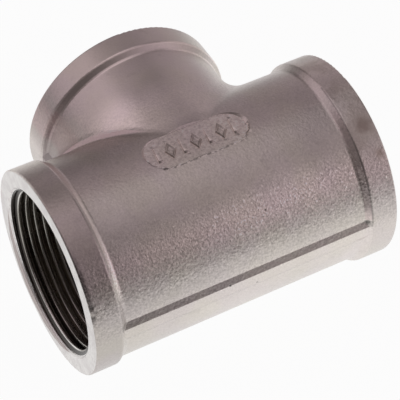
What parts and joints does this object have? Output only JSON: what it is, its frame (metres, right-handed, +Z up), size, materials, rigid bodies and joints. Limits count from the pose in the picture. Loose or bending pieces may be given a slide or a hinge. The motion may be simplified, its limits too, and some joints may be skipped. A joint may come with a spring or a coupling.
{
  "type": "threaded pipe tee",
  "caption": "Equal tee for threaded pipe: a straight run with a side branch, a raised band round each threaded mouth, a rib along the casting's mid-plane and a sunk marking pad.",
  "frame": {"origin": "the point where the run's axis and the branch's axis cross", "axes": "+X along the run, towards one of its two like mouths; +Y along the branch, out of its mouth; +Z up, out of the side with the sunk marking pad"},
  "size_m": [0.091, 0.0747, 0.0584],
  "materials": {
    "cast_steel": "bead-blasted satin casting, bright machined end faces"
  },
  "bodies": {
    "root": {"tee_body": "cast_steel"}
  },
  "joints": []
}
